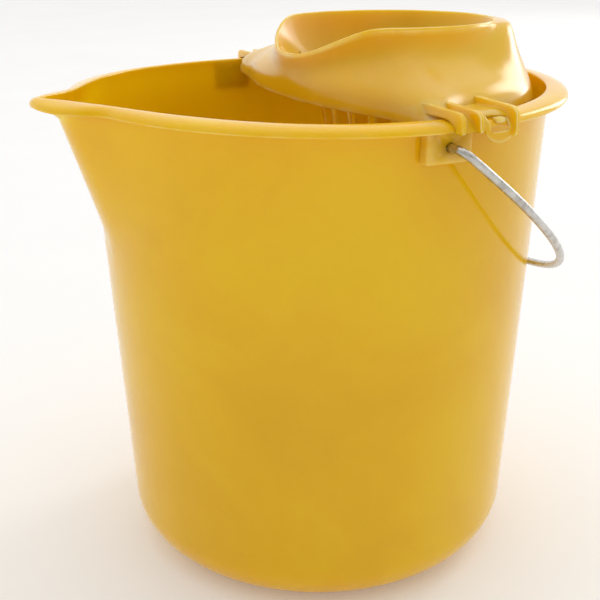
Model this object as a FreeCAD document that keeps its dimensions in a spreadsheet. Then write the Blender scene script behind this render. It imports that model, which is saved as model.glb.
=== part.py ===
"""Mop bucket with a snap-on wringer and a wire bail handle.

Frame: millimetres, +Z up, the origin at the middle of the underside of the bucket.
The spout points along -X, the wringer sits over the +X half, and the bail turns about
an axis along Y through the two ears.
"""

import FreeCAD
import Part
import math
import os

import Sketcher
from FreeCAD import Vector

SHEET = "Dimensions"

DIMENSIONS = {
    # bucket
    "rim_height": 288.0,
    "rim_radius": 145.0,
    "rim_skirt": 5.0,
    "rim_roll": 3.5,
    "wall_top_radius": 134.6,
    "wall_base_radius": 121.2,
    "wall": 2.2,
    "floor_thickness": 3.0,
    "base_corner": 30.0,
    "foot_recess_radius": 84.0,
    "foot_recess_depth": 2.0,
    "spout_centre": 131.0,
    "spout_lip_radius": 37.0,
    "spout_wall_radius": 26.6,
    "spout_blend": 20.0,
    "spout_foot_height": 206.0,
    # bail ears
    "ear_width": 26.0,
    "ear_face": 140.5,
    "ear_bottom": 266.0,
    "ear_core_width": 6.5,
    "ear_core_depth": 12.0,
    "pivot_height": 274.0,
    "pivot_clearance": 0.06,
    "pivot_floor": 134.3,
    # bail
    "wire_radius": 2.25,
    "bail_half_width": 152.5,
    "bail_reach": 169.4,
    "bail_corner": 141.0,
    "bail_bend": 6.0,
    "bail_pin_end": 134.7,
    "bail_rest_angle": 39.0,
    # wringer
    "sheet_thickness": 2.0,
    "mouth_centre": 46.0,
    "mouth_radius": 64.0,
    "mouth_height": 322.0,
    "hood_bottom": 280.0,
    "basket_bottom": 214.0,
    "throat_height": 272.0,
    "throat_radius": 36.0,
    "basket_radius": 31.0,
    "slot_width": 4.6,
    "slot_bottom": 226.0,
    "slot_top": 296.0,
    "slot_reach": 54.0,
    "drain_radius": 4.0,
    "drain_ring": 20.0,
    "scoop_front_height": 305.5,
    "clip_gap": 0.35,
    "clip_left": -1.0,
    "clip_right": 37.0,
    "clip_root": 112.0,
    "clip_skirt_bottom": 282.0,
    "far_clip_turn": 4.6,
    "rib_thickness": 2.6,
    "rib_crest": 291.6,
    "rib_face": 149.6,
    "rib_root": 114.0,
    "lobe_radius": 12.5,
    "lobe_height": 287.0,
    "lobe_offset": 26.5,
    "window_width": 11.0,
    "window_height": 8.5,
    "window_middle": 284.2,
    "tongue_width": 6.0,
    "tongue_height": 3.0,
}

SLOT_COUNT = 18
DRAIN_COUNT = 8
RIB_POSITIONS = (0.8, 11.6, 35.4)

# Depth below the top of the mouth, then how far the hood has widened from the round mouth (0)
# to its footprint (1) at the sides, at the back and at the front.
HOOD_STEPS = (
    (35.6, 1.0, 1.0, 1.0),
    (31.0, 0.98, 0.90, 0.98),
    (28.5, 0.93, 0.85, 0.93),
    (24.0, 0.66, 0.75, 0.76),
    (19.0, 0.38, 0.66, 0.60),
    (13.5, 0.25, 0.57, 0.50),
    (6.5, 0.18, 0.47, 0.42),
    (1.5, 0.14, 0.36, 0.37),
    (0.0, 0.11, 0.28, 0.34),
)
HOOD_BACK_CENTRE = 12.0
HOOD_BACK_RADIUS = 116.5
HOOD_FRONT_X = -21.0
HOOD_FRONT_RADIUS = 265.0
HOOD_CORNER = 14.0

doc = FreeCAD.newDocument("mop_bucket")
sheet = doc.addObject("Spreadsheet::Sheet", SHEET)


def fill_sheet():
    """One row per driving dimension: name in column A, value with its alias in column B."""
    for row, (name, value) in enumerate(DIMENSIONS.items(), start=1):
        sheet.set("A%d" % row, name)
        sheet.set("B%d" % row, str(value))
        sheet.setAlias("B%d" % row, name)
    doc.recompute()


def cell(text):
    """An expression in which every dimension name is replaced by its cell."""
    for name in sorted(DIMENSIONS, key=len, reverse=True):
        text = text.replace("[" + name + "]", SHEET + "." + name)
    return text


def bind(item, **expressions):
    """Sets properties of an object from the sheet; a double underscore stands for a dot."""
    for path, text in expressions.items():
        item.setExpression(path.replace("__", "."), cell(text))
    return item


def box(name, x, y, z, length, width, height):
    item = doc.addObject("Part::Box", name)
    return bind(item, Length=length, Width=width, Height=height,
                Placement__Base__x=x, Placement__Base__y=y, Placement__Base__z=z)


def cylinder(name, radius, height, z, x="0", y="0"):
    item = doc.addObject("Part::Cylinder", name)
    return bind(item, Radius=radius, Height=height,
                Placement__Base__x=x, Placement__Base__y=y, Placement__Base__z=z)


def cone(name, low, high, height, z, x="0"):
    item = doc.addObject("Part::Cone", name)
    return bind(item, Radius1=low, Radius2=high, Height=height,
                Placement__Base__x=x, Placement__Base__z=z)


def cut(name, base, tool):
    item = doc.addObject("Part::Cut", name)
    item.Base = base
    item.Tool = tool
    return item


def fuse(name, shapes):
    item = doc.addObject("Part::MultiFuse", name)
    item.Shapes = shapes
    item.Refine = True
    return item


def common(name, base, tool):
    item = doc.addObject("Part::Common", name)
    item.Base = base
    item.Tool = tool
    return item


def extrude(name, sketch, height):
    item = doc.addObject("Part::Extrusion", name)
    item.Base = sketch
    item.DirMode = "Custom"
    item.Dir = Vector(0, 0, 1)
    item.Solid = True
    return bind(item, LengthFwd=height)


def loft(name, sections, ruled=False):
    item = doc.addObject("Part::Loft", name)
    item.Sections = sections
    item.Solid = True
    item.Ruled = ruled
    return item


def revolve(name, sketch):
    item = doc.addObject("Part::Revolution", name)
    item.Source = sketch
    item.Axis = Vector(0, 0, 1)
    item.Base = Vector(0, 0, 0)
    item.Angle = 360.0
    item.Solid = True
    return item


def mirrored(name, source):
    """The same shape on the other side of the spout plane."""
    item = doc.addObject("Part::Mirroring", name)
    item.Source = source
    item.Normal = Vector(0, 1, 0)
    return item


def arc(x, y, radius, start, end):
    return Part.ArcOfCircle(Part.Circle(Vector(x, y, 0), Vector(0, 0, 1), radius), start, end)


def line(x0, y0, x1, y1):
    return Part.LineSegment(Vector(x0, y0, 0), Vector(x1, y1, 0))


def constrain(sketch, kind, *numbers, text=None):
    """Adds a constraint, and drives it from the sheet where a formula is given."""
    index = sketch.addConstraint(Sketcher.Constraint(kind, *numbers))
    if text is not None:
        sketch.setExpression("Constraints[%d]" % index, cell(text))
    return index


def new_sketch(name, height=None):
    sketch = doc.addObject("Sketcher::SketchObject", name)
    if height is not None:
        bind(sketch, Placement__Base__z=height)
    return sketch


def join_tangent(sketch, pairs):
    for first, first_end, second, second_end in pairs:
        constrain(sketch, "Tangent", first, first_end, second, second_end)


def place_centre(sketch, geometry, x, text):
    """Puts the centre of an arc on the X axis at x."""
    constrain(sketch, "PointOnObject", geometry, 3, -1)
    if text == "0":
        constrain(sketch, "PointOnObject", geometry, 3, -2)
    else:
        constrain(sketch, "DistanceX", -1, 1, geometry, 3, x, text=text)


def wrapped_outline(name, height, big, nose, centre, big_text, nose_text, centre_text):
    """The outline of a belt round a big circle at the origin and a nose circle at -centre."""
    sketch = new_sketch(name, height)
    half = math.acos((big - nose) / centre)
    high = math.pi - half
    low = math.pi + half
    ends = [(r * math.cos(a) - c, r * math.sin(a)) for r, a, c in (
        (big, high, 0), (nose, high, centre), (nose, low, centre), (big, low, 0))]
    sketch.addGeometry(arc(0, 0, big, -high, high))
    sketch.addGeometry(line(*ends[0], *ends[1]))
    sketch.addGeometry(arc(-centre, 0, nose, high, low))
    sketch.addGeometry(line(*ends[2], *ends[3]))
    join_tangent(sketch, ((0, 2, 1, 1), (1, 2, 2, 1), (2, 2, 3, 1), (3, 2, 0, 1)))
    place_centre(sketch, 0, 0, "0")
    place_centre(sketch, 2, -centre, centre_text)
    constrain(sketch, "Radius", 0, big, text=big_text)
    constrain(sketch, "Radius", 2, nose, text=nose_text)
    return sketch


def lip_outline(name, height, inset):
    """The outline of the rolled rim: the round rim, the spout nose and two concave blends."""
    d = DIMENSIONS
    sketch = new_sketch(name, height)
    big = d["rim_radius"] - inset
    nose = d["spout_lip_radius"] - inset
    blend = d["spout_blend"] + inset
    centre = d["spout_centre"]
    reach = big + blend
    x = ((nose + blend) ** 2 - reach ** 2 - centre ** 2) / (2 * centre)
    y = math.sqrt(reach ** 2 - x ** 2)
    main = math.atan2(y, x)
    side = math.atan2(y, x + centre)
    sketch.addGeometry(arc(0, 0, big, -main, main))
    sketch.addGeometry(arc(x, y, blend, side - math.pi, main - math.pi))
    sketch.addGeometry(arc(-centre, 0, nose, side, 2 * math.pi - side))
    sketch.addGeometry(arc(x, -y, blend, math.pi - main, math.pi - side))
    join_tangent(sketch, ((0, 2, 1, 2), (1, 1, 2, 1), (2, 2, 3, 2), (3, 1, 0, 1)))
    place_centre(sketch, 0, 0, "0")
    place_centre(sketch, 2, -centre, "-[spout_centre]")
    constrain(sketch, "Radius", 0, big, text="[rim_radius] - %g" % inset)
    constrain(sketch, "Radius", 2, nose, text="[spout_lip_radius] - %g" % inset)
    constrain(sketch, "Radius", 1, blend, text="[spout_blend] + %g" % inset)
    constrain(sketch, "Equal", 1, 3)
    return sketch


def wall_radius_text(height):
    """The outside radius of the tapered wall at a height, as a formula."""
    return ("[wall_base_radius] + ([wall_top_radius] - [wall_base_radius]) * (%s) / [rim_height]"
            % height)


def bowl_profile(name, inset, low, high, corner):
    """Half section of the tapered bowl: flat floor, rounded corner, straight wall."""
    d = DIMENSIONS
    sketch = new_sketch(name)
    sketch.Placement = FreeCAD.Placement(Vector(0, 0, 0), FreeCAD.Rotation(Vector(1, 0, 0), 90))
    slope = math.atan2(d["wall_top_radius"] - d["wall_base_radius"], d["rim_height"])
    foot = d["wall_base_radius"] - inset + math.tan(slope) * low
    top = d["wall_base_radius"] - inset + math.tan(slope) * high
    size = corner
    sketch.addGeometry(line(0, low, foot - size, low))
    sketch.addGeometry(arc(foot - size, low + size, size, -math.pi / 2, -slope))
    sketch.addGeometry(line(foot, low + size, top, high))
    sketch.addGeometry(line(top, high, 0, high))
    sketch.addGeometry(line(0, high, 0, low))
    constrain(sketch, "Tangent", 0, 2, 1, 1)
    constrain(sketch, "Tangent", 1, 2, 2, 1)
    for first, second in ((2, 3), (3, 4), (4, 0)):
        constrain(sketch, "Coincident", first, 2, second, 1)
    constrain(sketch, "Horizontal", 0)
    constrain(sketch, "Horizontal", 3)
    constrain(sketch, "Vertical", 4)
    constrain(sketch, "PointOnObject", 4, 1, -2)
    return sketch


def bowl(name, inset, low_text, low, high_text, high, corner_text, corner):
    """The round part of the bucket as a solid, outside (inset 0) or inside (inset wall)."""
    sketch = bowl_profile(name + "_section", inset, low, high, corner)
    if low == 0:
        constrain(sketch, "PointOnObject", 0, 1, -1)
    else:
        constrain(sketch, "DistanceY", -1, 1, 0, 1, low, text=low_text)
    constrain(sketch, "DistanceY", -1, 1, 3, 2, high, text=high_text)
    constrain(sketch, "Radius", 1, corner, text=corner_text)
    constrain(sketch, "DistanceX", -1, 1, 3, 1, 130.0, text=wall_radius_text(high_text) + " - %g" % inset)
    # The wall's slope: tan(angle) = radius gained over the whole height.
    constrain(sketch, "Angle", 2, math.radians(87.3),
              text="90deg - atan(([wall_top_radius] - [wall_base_radius]) / [rim_height])")
    return revolve(name, sketch)


def spouted_wall(name, inset, top):
    """The upper wall: a belt round the tapered bowl and a nose that dies into the wall."""
    d = DIMENSIONS
    sections = []
    foot = d["spout_foot_height"]
    foot_radius = d["wall_base_radius"] + (
        d["wall_top_radius"] - d["wall_base_radius"]) * foot / d["rim_height"]
    lip = d["spout_centre"] + d["spout_wall_radius"]
    for step in range(7):
        share = step / 6.0
        height = foot + (top - foot) * share
        big = d["wall_base_radius"] + (
            d["wall_top_radius"] - d["wall_base_radius"]) * height / d["rim_height"]
        nose = d["spout_wall_radius"] + 33.0 * (1 - share) ** 2
        reach = foot_radius + 0.08 + (lip - foot_radius - 0.08) * share
        height_text = "[spout_foot_height] + (%g - [spout_foot_height]) * %.6f" % (top, share)
        nose_text = "[spout_wall_radius] + %.6f" % (33.0 * (1 - share) ** 2)
        foot_text = "(" + wall_radius_text("[spout_foot_height]") + " + 0.08)"
        reach_text = "(%s + ([spout_centre] + [spout_wall_radius] - %s) * %.6f)" % (
            foot_text, foot_text, share)
        sections.append(wrapped_outline(
            "%s_section_%d" % (name, step), height_text,
            big - inset, nose - inset, reach - nose,
            wall_radius_text(height_text) + " - %g" % inset,
            nose_text + " - %g" % inset,
            "-(%s - (%s))" % (reach_text, nose_text)))
    return loft(name, sections)


def edges_where(shape, test):
    return [i for i, edge in enumerate(shape.Edges, start=1) if test(edge)]


def fillet(name, base, radius, test):
    """Rounds the edges of base that pass the test."""
    doc.recompute()
    item = doc.addObject("Part::Fillet", name)
    item.Base = base
    item.Edges = [(i, radius, radius) for i in edges_where(base.Shape, test)]
    return item


def make_rim():
    """The rolled rim: a rounded plate with a skirt, hollow underneath."""
    d = DIMENSIONS
    top = d["rim_height"]
    plate = extrude("rim_block", lip_outline("rim_outline", "[rim_height] - [rim_skirt]", 0.0), "[rim_skirt]")
    rolled = fillet("rim_rolled", plate, d["rim_roll"],
                    lambda e: e.BoundBox.ZMin > top - 0.01)
    channel = extrude("rim_channel", lip_outline("rim_channel_outline", "[rim_height] - [rim_skirt] - 1", 2.2),
                      "[rim_skirt] + 1 - [wall]")
    eased = fillet("rim_channel_eased", channel, d["rim_roll"] - 2.2,
                   lambda e: e.BoundBox.ZMin > top - 2.3)
    return cut("rim_hollow", rolled, eased)


def make_ears():
    """Two blocks under the rim that take the ends of the bail, cored from below."""
    block = box("ear_block", "-[ear_width] / 2", "-[ear_face]", "[ear_bottom]",
                "[ear_width]", "[ear_face] - 128", "[rim_height] - [ear_bottom] - 1.5")
    cores = []
    for label, x in (("left", "-[ear_width] / 2 + 2"), ("right", "[ear_width] / 2 - 2 - [ear_core_width]")):
        cores.append(box("ear_core_" + label, x, "-[ear_face] + 2.2", "[ear_bottom] - 1",
                         "[ear_core_width]", "4", "[ear_core_depth] + 1"))
    near = cut("ear_near", block, fuse("ear_cores", cores))
    return [near, mirrored("ear_far", near)]


def make_bores():
    bore = doc.addObject("Part::Cylinder", "pivot_bore")
    bind(bore, Radius="[wire_radius] + [pivot_clearance]", Height="[ear_face] - [pivot_floor] + 1",
         Placement__Base__y="-[pivot_floor]", Placement__Base__z="[pivot_height]")
    bore.Placement.Rotation = FreeCAD.Rotation(Vector(1, 0, 0), 90)
    return [bore, mirrored("pivot_bore_far", bore)]


def make_bucket():
    d = DIMENSIONS
    outside = bowl("bowl_outside", 0.0, "0", 0.0, "[spout_foot_height]", d["spout_foot_height"],
                   "[base_corner]", d["base_corner"])
    upper = spouted_wall("upper_outside", 0.0, d["rim_height"])
    floor_top = d["foot_recess_depth"] + d["floor_thickness"]
    inside = bowl("bowl_inside", d["wall"], "[foot_recess_depth] + [floor_thickness]", floor_top,
                  "[spout_foot_height]", d["spout_foot_height"],
                  "[base_corner] - [wall]", d["base_corner"] - d["wall"])
    upper_inside = spouted_wall("upper_inside", d["wall"], d["rim_height"] + 0.6)
    solid = fuse("bucket_blank", [outside, upper, make_rim()] + make_ears())
    recess = cylinder("foot_recess", "[foot_recess_radius]", "[foot_recess_depth]", "0")
    hollow = fuse("bucket_hollow", [inside, upper_inside, recess] + make_bores())
    return cut("bucket", solid, hollow)


def hood_outline(name, height_text, shares, inset):
    """One level of the hood: back arc, two corners and a shallow front arc."""
    d = DIMENSIONS
    side_share, back_share, front_share = shares
    mouth = d["mouth_centre"]
    edge = d["mouth_radius"] + d["sheet_thickness"]
    full_side = math.sqrt(HOOD_BACK_RADIUS ** 2 - (mouth - HOOD_BACK_CENTRE) ** 2)
    full_back = HOOD_BACK_CENTRE + HOOD_BACK_RADIUS - mouth
    side_reach = edge + (full_side - edge) * side_share
    back_reach = edge + (full_back - edge) * back_share
    shift_back = (side_reach ** 2 - back_reach ** 2) / (2 * back_reach)
    back_x = mouth - shift_back
    back = back_reach + shift_back
    front_edge = (mouth - edge) + (HOOD_FRONT_X - (mouth - edge)) * front_share
    front = edge + (HOOD_FRONT_RADIUS - edge) * front_share ** 2.3
    corner = edge + (HOOD_CORNER - edge) * front_share ** 0.55
    front_x = front_edge + front
    gap = front_x - back_x
    a, b = back - corner, front - corner
    x = (a * a - b * b + gap * gap) / (2 * gap)
    y = math.sqrt(max(a * a - x * x, 0.01))
    back_end = math.atan2(y, x)
    front_end = math.atan2(y, x - gap)
    radii = [back - inset, corner - inset, front - inset]
    sketch = new_sketch(name, height_text)
    turn = 2 * math.pi
    sketch.addGeometry(arc(back_x, 0, radii[0], -back_end, back_end))
    sketch.addGeometry(arc(back_x + x, y, radii[1], back_end, front_end))
    sketch.addGeometry(arc(front_x, 0, radii[2], front_end, turn - front_end))
    sketch.addGeometry(arc(back_x + x, -y, radii[1], turn - front_end, turn - back_end))
    join_tangent(sketch, ((0, 2, 1, 1), (1, 2, 2, 1), (2, 2, 3, 1), (3, 2, 0, 1)))
    shift = "[mouth_centre] - %g" % mouth
    place_centre(sketch, 0, back_x, "%.5f + %s" % (back_x, shift))
    place_centre(sketch, 2, front_x, "%.5f + %s" % (front_x, shift))
    constrain(sketch, "Radius", 0, radii[0], text="%.5f + [mouth_radius] - %g" % (radii[0], d["mouth_radius"]))
    constrain(sketch, "Radius", 2, radii[2], text="%.5f + [mouth_radius] - %g" % (radii[2], d["mouth_radius"]))
    constrain(sketch, "Radius", 1, radii[1])
    constrain(sketch, "Equal", 1, 3)
    return sketch


def make_hood_solid(name, inset):
    """The hood as a solid: an upright skirt, a hollow flank at the sides and a steep back."""
    rise = HOOD_STEPS[0][0]
    levels = []
    for index, (below, *shares) in enumerate(HOOD_STEPS):
        lowered = inset + below * (rise - inset) / rise
        levels.append(hood_outline("%s_level_%d" % (name, index),
                                   "[mouth_height] - %.4f" % lowered, shares, inset))
    dome = loft(name + "_dome", levels, ruled=True)
    skirt_outline = hood_outline(name + "_skirt_outline", "[hood_bottom] - %g" % inset,
                                 HOOD_STEPS[0][1:], inset)
    skirt = extrude(name + "_skirt", skirt_outline,
                    "[mouth_height] - %g - [hood_bottom] + %g" % (rise, inset))
    return fuse(name, [dome, skirt])


def make_scoop(name, lower):
    """A block whose underside is the dipped front edge of the mouth, seen from the side."""
    run = new_sketch(name + "_side", "[scoop_front_height] - %g" % lower)
    run.Placement.Rotation = FreeCAD.Rotation(Vector(1, 0, 0), 90)
    bind(run, Placement__Base__y="[rim_radius]")
    slope = math.radians(38.0)
    rise = DIMENSIONS["mouth_height"] - DIMENSIONS["scoop_front_height"] + 0.02
    foot, brow = 10.0, 22.0
    foot_x = -21.0
    rise_foot = foot * (1 - math.cos(slope))
    rise_brow = brow * (1 - math.cos(slope))
    start = (foot_x + foot * math.sin(slope), rise_foot)
    length = (rise - rise_foot - rise_brow) / math.tan(slope)
    end = (start[0] + length, rise - rise_brow)
    brow_x = end[0] + brow * math.sin(slope)
    down = -math.pi / 2
    run.addGeometry(line(-60, 0, foot_x, 0))
    run.addGeometry(arc(foot_x, foot, foot, down, down + slope))
    run.addGeometry(line(*start, *end))
    run.addGeometry(arc(brow_x, rise - brow, brow, math.pi / 2, math.pi / 2 + slope))
    run.addGeometry(line(brow_x, rise, brow_x, rise + 40))
    run.addGeometry(line(brow_x, rise + 40, -60, rise + 40))
    run.addGeometry(line(-60, rise + 40, -60, 0))
    join_tangent(run, ((0, 2, 1, 1), (1, 2, 2, 1), (2, 2, 3, 2)))
    for first, first_end, second, second_end in ((3, 1, 4, 1), (4, 2, 5, 1), (5, 2, 6, 1), (6, 2, 0, 1)):
        constrain(run, "Coincident", first, first_end, second, second_end)
    constrain(run, "Radius", 1, foot)
    constrain(run, "Radius", 3, brow)
    item = doc.addObject("Part::Extrusion", name)
    item.Base = run
    item.DirMode = "Custom"
    item.Dir = Vector(0, -1, 0)
    item.Solid = True
    return bind(item, LengthFwd="2 * [rim_radius]")


def make_basket_solid(name, inset, floor):
    """The funnel below the mouth and the round basket below it, outside (inset 0) or inside."""
    wall = " + [sheet_thickness] - %g" % inset
    funnel = cone(name + "_funnel", "[throat_radius]" + wall, "[mouth_radius]" + wall,
                  "[mouth_height] - [throat_height]", "[throat_height]", x="[mouth_centre]")
    cup = cone(name + "_cup", "[basket_radius]" + wall, "[throat_radius]" + wall,
               "[throat_height] - [basket_bottom] - %g" % floor,
               "[basket_bottom] + %g" % floor, x="[mouth_centre]")
    return fuse(name, [funnel, cup])


def make_openings():
    """Upright slots round the basket and drain holes through its floor."""
    tools = []
    for number in range(SLOT_COUNT):
        slot = box("slot_%02d" % number, "[mouth_centre]", "0", "[slot_bottom]",
                   "[slot_reach]", "[slot_width]", "[slot_top] - [slot_bottom]")
        turn = 360.0 * (number + 0.5) / SLOT_COUNT
        slot.Placement.Rotation = FreeCAD.Rotation(Vector(0, 0, 1), turn)
        angle = math.radians(turn)
        bind(slot, Placement__Base__x="[mouth_centre] + [slot_width] / 2 * %.6f" % math.sin(angle),
             Placement__Base__y="-[slot_width] / 2 * %.6f" % math.cos(angle))
        tools.append(slot)
    core = cylinder("slot_core", "[basket_radius] - 4", "[slot_top] - [slot_bottom] + 2",
                    "[slot_bottom] - 1", x="[mouth_centre]")
    slots = cut("slots", fuse("slot_boxes", tools), core)
    drains = [cylinder("drain_centre", "[drain_radius]", "12", "[basket_bottom] - 4", x="[mouth_centre]")]
    for number in range(DRAIN_COUNT):
        angle = 2 * math.pi * number / DRAIN_COUNT
        drains.append(cylinder("drain_%d" % number, "[drain_radius]", "12", "[basket_bottom] - 4",
                               x="[mouth_centre] + [drain_ring] * %.6f" % math.cos(angle),
                               y="[drain_ring] * %.6f" % math.sin(angle)))
    return [slots] + drains


def ring(name, inner, outer, low, high):
    """An upright tube about the bucket's axis."""
    return cut(name, cylinder(name + "_outer", outer, "(%s) - (%s)" % (high, low), low),
               cylinder(name + "_inner", inner, "(%s) - (%s) + 2" % (high, low), "(%s) - 1" % low))


def make_clips():
    """A clip (bridge over the rim, skirt outside it, three fins and a lobe) and its far twin, set further back."""
    inside = "[rim_radius] + [clip_gap]"
    outside = inside + " + [sheet_thickness]"
    under = "[rim_height] + [clip_gap]"
    over = under + " + [sheet_thickness]"
    width = "[clip_right] - [clip_left]"
    bridge = common("clip_bridge",
                    box("clip_bridge_slab", "[clip_left]", "-[rim_radius] - 8", under, width,
                        "[rim_radius] + 8 - [clip_root]", "[sheet_thickness]"),
                    cylinder("clip_bridge_disc", outside, "[sheet_thickness]", under))
    skirt = common("clip_skirt",
                   box("clip_skirt_slab", "[clip_left]", "-[rim_radius] - 8", "[clip_skirt_bottom]", width,
                       "60", over + " - [clip_skirt_bottom]"),
                   ring("clip_skirt_ring", inside, outside, "[clip_skirt_bottom]", over))
    disc = cylinder("lobe_disc", "[lobe_radius]", "60", "[lobe_height]", x="[lobe_offset]", y="-110")
    disc.Placement.Rotation = FreeCAD.Rotation(Vector(1, 0, 0), 90)
    lobe = common("lobe", disc, ring("lobe_ring", inside, outside, "[lobe_height] - [lobe_radius] - 1", over))
    window = box("window", "[lobe_offset] - [window_width] / 2", "-[rim_radius] - 10",
                 "[window_middle] - [window_height] / 2", "[window_width]", "30", "[window_height]")
    plate = cut("clip_plate", fuse("clip_sheet", [bridge, skirt, lobe]), window)
    tongue = common("tongue",
                    box("tongue_slab", "[lobe_offset] - [tongue_width] / 2", "-[rim_radius] - 8",
                        "[window_middle] + [window_height] / 2 - [tongue_height]", "[tongue_width]", "60",
                        "[tongue_height] + 0.5"),
                    ring("tongue_ring", inside, inside + " + 1.4", "[clip_skirt_bottom]", over))
    fins = []
    for number, x in enumerate(RIB_POSITIONS):
        blade = box("fin_slab_%d" % number, "%g - [rib_thickness] / 2" % x, "-[rim_radius] - 8",
                    "[clip_skirt_bottom]", "[rib_thickness]", "[rim_radius] + 8 - [rib_root]",
                    "[rib_crest] - [clip_skirt_bottom]")
        reach = cylinder("fin_disc_%d" % number, "[rib_face]", "60", "[clip_skirt_bottom] - 10")
        blade = common("fin_blank_%d" % number, blade, reach)
        face = math.sqrt(DIMENSIONS["rib_face"] ** 2 - x ** 2)
        top = DIMENSIONS["rib_crest"]
        rounded = fillet("fin_rounded_%d" % number, blade, 5.5,
                         lambda e: e.BoundBox.ZMin > top - 0.01 and e.BoundBox.YMax < -face + 1.5)
        fins.append(rounded)
    clearance = cylinder("fin_clearance", inside, under + " - [clip_skirt_bottom] + 20",
                         "[clip_skirt_bottom] - 20")
    near = fuse("clip_near", [plate, tongue, cut("fins", fuse("fin_set", fins), clearance)])
    far = mirrored("clip_far", near)
    far.Placement.Rotation = FreeCAD.Rotation(Vector(0, 0, -1), 1)
    bind(far, Placement__Rotation__Angle="[far_clip_turn]")
    return [near, far]


def make_wringer():
    """The wringer: hood, basket and both clips as one thin moulding."""
    basket = make_basket_solid("basket_outside", 0.0, 0.0)
    inside = make_basket_solid("basket_inside", 2.0, 2.0)
    hood = make_hood_solid("hood_outside", 0.0)
    void = cut("hood_void", cut("hood_inside_low", make_hood_solid("hood_inside", 2.0),
                                make_scoop("scoop_lowered", 2.2)), basket)
    clips = make_clips()
    shell = cut("wringer_shell", cut("wringer_blank", fuse("wringer_bulk", [hood, basket]),
                                     make_scoop("scoop", 0.0)), void)
    body = cut("wringer_body", fuse("wringer_with_clips", [shell] + clips), inside)
    return cut("wringer", body, fuse("wringer_openings", make_openings()))


def make_bail():
    """A bent wire: two pins, two legs and a wide bow, swept round one flat path."""
    d = DIMENSIONS
    half, reach = d["bail_half_width"], d["bail_reach"]
    corner, bend, pin = d["bail_corner"], d["bail_bend"], d["bail_pin_end"]
    path = new_sketch("bail_path")
    path.addGeometry(line(0, -pin, 0, -half + bend))
    path.addGeometry(arc(bend, -half + bend, bend, math.pi, 1.5 * math.pi))
    path.addGeometry(line(bend, -half, reach - corner, -half))
    path.addGeometry(arc(reach - corner, -half + corner, corner, -math.pi / 2, 0))
    path.addGeometry(line(reach, -half + corner, reach, half - corner))
    path.addGeometry(arc(reach - corner, half - corner, corner, 0, math.pi / 2))
    path.addGeometry(line(reach - corner, half, bend, half))
    path.addGeometry(arc(bend, half - bend, bend, math.pi / 2, math.pi))
    path.addGeometry(line(0, half - bend, 0, pin))
    join_tangent(path, ((0, 2, 1, 1), (1, 2, 2, 1), (2, 2, 3, 1), (3, 2, 4, 1), (4, 2, 5, 1),
                        (5, 2, 6, 1), (6, 2, 7, 1), (7, 2, 8, 1)))
    constrain(path, "Vertical", 0)
    constrain(path, "Vertical", 8)
    constrain(path, "PointOnObject", 0, 1, -2)
    constrain(path, "Symmetric", 0, 1, 8, 2, -1, 1)
    constrain(path, "Radius", 1, bend, text="[bail_bend]")
    constrain(path, "Equal", 1, 7)
    constrain(path, "Radius", 3, corner, text="[bail_corner]")
    constrain(path, "Equal", 3, 5)
    constrain(path, "DistanceY", 0, 1, -1, 1, pin, text="[bail_pin_end]")
    constrain(path, "DistanceX", -1, 1, 4, 1, reach, text="[bail_reach]")
    constrain(path, "DistanceY", 2, 1, -1, 1, half, text="[bail_half_width]")
    ring_section = doc.addObject("Part::Circle", "wire_section")
    bind(ring_section, Radius="[wire_radius]", Placement__Base__y="-[bail_pin_end]")
    ring_section.Placement.Rotation = FreeCAD.Rotation(Vector(1, 0, 0), 90)
    doc.recompute()
    bail = doc.addObject("Part::Sweep", "bail_handle")
    bail.Sections = [ring_section]
    bail.Spine = (path, ["Edge%d" % n for n in range(1, 10)])
    bail.Solid = True
    bail.Frenet = False
    bail.Placement.Rotation = FreeCAD.Rotation(Vector(0, 1, 0), 1)
    bind(bail, Placement__Base__z="[pivot_height]", Placement__Rotation__Angle="[bail_rest_angle]")
    return bail


def check(items):
    """Stops when anything failed to rebuild or is not one valid solid."""
    doc.recompute()
    for item in doc.Objects:
        if "Invalid" in item.State or "Error" in item.State:
            raise RuntimeError("%s did not rebuild: %s" % (item.Label, item.State))
    for item in items:
        shape = item.Shape
        if shape.isNull() or not shape.isValid() or len(shape.Solids) != 1:
            raise RuntimeError("%s is not one valid solid (%d)" % (item.Label, len(shape.Solids)))
        print("%-14s volume %8.1f cm3, size %s" % (item.Label, shape.Volume / 1000.0, shape.BoundBox))


fill_sheet()
parts = [make_bucket(), make_wringer(), make_bail()]
check(parts)
os.makedirs("parts", exist_ok=True)
for part in parts:
    part.Shape.exportStep("parts/%s.step" % part.Label)
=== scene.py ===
import math

import bmesh
import bpy
from mathutils import Matrix, Vector


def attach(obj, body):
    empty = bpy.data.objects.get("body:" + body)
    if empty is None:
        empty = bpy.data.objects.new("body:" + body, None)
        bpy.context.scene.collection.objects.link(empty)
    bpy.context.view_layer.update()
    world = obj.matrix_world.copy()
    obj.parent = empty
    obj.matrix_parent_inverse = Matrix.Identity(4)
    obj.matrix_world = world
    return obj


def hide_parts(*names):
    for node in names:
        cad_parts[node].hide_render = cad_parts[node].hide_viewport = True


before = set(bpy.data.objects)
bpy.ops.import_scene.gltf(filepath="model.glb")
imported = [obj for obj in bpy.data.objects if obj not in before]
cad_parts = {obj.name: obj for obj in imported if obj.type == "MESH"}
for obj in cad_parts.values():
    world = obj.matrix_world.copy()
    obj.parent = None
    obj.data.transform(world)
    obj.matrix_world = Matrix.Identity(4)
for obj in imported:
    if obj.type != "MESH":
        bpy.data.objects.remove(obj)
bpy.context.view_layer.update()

MM = 0.001

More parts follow.
